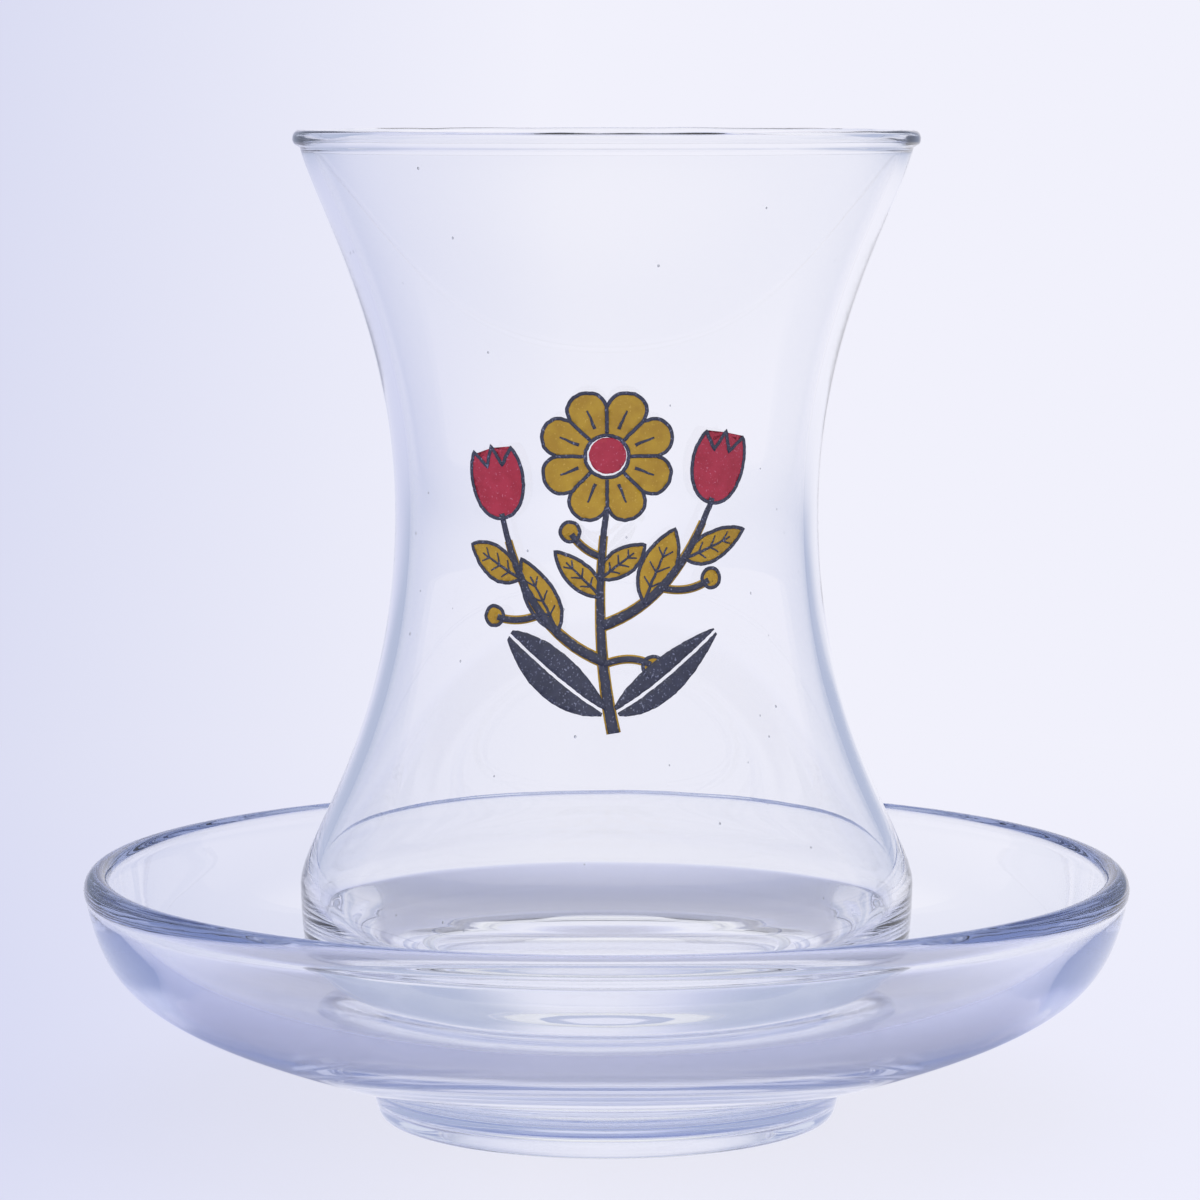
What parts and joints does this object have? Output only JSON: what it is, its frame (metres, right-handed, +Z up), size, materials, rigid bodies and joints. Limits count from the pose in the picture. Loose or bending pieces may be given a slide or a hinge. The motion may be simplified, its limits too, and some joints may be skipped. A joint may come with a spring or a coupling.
{
  "type": "tea glass with saucer",
  "caption": "Waisted clear tea glass with a beaded lip, thick base and small floral print, standing in the well of a clear glass saucer with a foot ring.",
  "frame": {"origin": "centre of the saucer's foot ring, on the table", "axes": "+Z up along the axis of the glass and saucer; the print on the glass faces -Y; +X is to the right seen from the print's side"},
  "size_m": [0.11, 0.11, 0.1038],
  "materials": {
    "saucer_glass": "pressed, fire-polished",
    "clear_glass": "blown, fire-polished",
    "gold_ink": "screen print, fired, satin",
    "red_ink": "screen print, fired, satin",
    "charcoal_ink": "screen print, fired, satin"
  },
  "bodies": {
    "saucer": {"saucer": "saucer_glass"},
    "glass": {"glass": "clear_glass", "print_gold_leaves": "gold_ink", "print_red_eye": "red_ink", "print_gold_bloom": "gold_ink", "print_red_bud_left": "red_ink", "print_red_bud_right": "red_ink", "print_charcoal_stems": "charcoal_ink"}
  },
  "joints": [
    {"name": "glass_lift", "type": "slide", "parent": "saucer", "child": "glass", "axis": [0, 0, 1], "range_m": [0, 0.1]}
  ]
}
